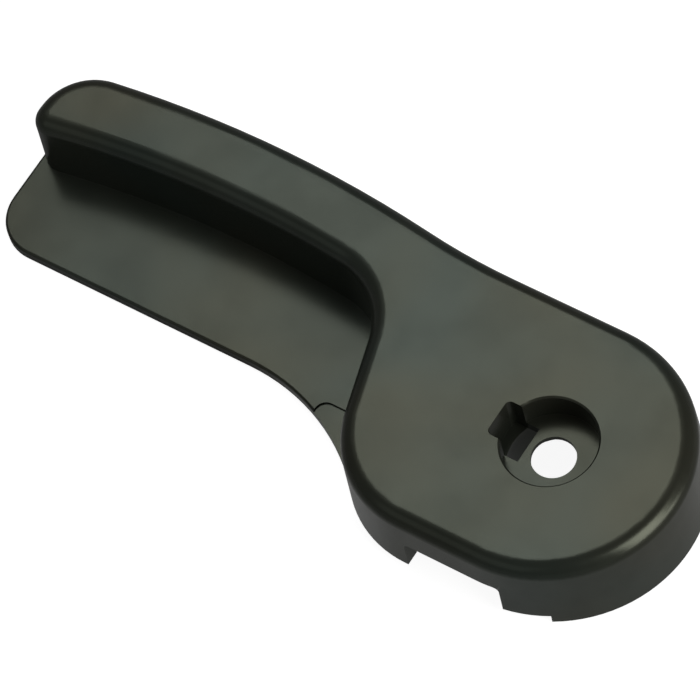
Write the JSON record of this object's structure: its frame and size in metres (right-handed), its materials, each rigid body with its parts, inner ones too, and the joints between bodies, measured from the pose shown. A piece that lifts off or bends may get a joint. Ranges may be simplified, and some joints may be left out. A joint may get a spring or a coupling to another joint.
{
  "type": "hood release handle",
  "caption": "One-piece moulded lever with a round pivot head, a raised grip bar and a thin finger floor; it pulls a bonnet release cable from inside the cabin.",
  "frame": {"origin": "on the pivot's axis, at the seat of the screw's head inside the counterbore", "axes": "+Z out of the smooth face, -X along the grip towards its free end, -Y towards the side where the fingers reach in"},
  "size_m": [0.1363, 0.0522, 0.0158],
  "materials": {
    "black_grey_plastic": "satin moulded plastic"
  },
  "bodies": {
    "root": {"handle": "black_grey_plastic"}
  },
  "joints": []
}
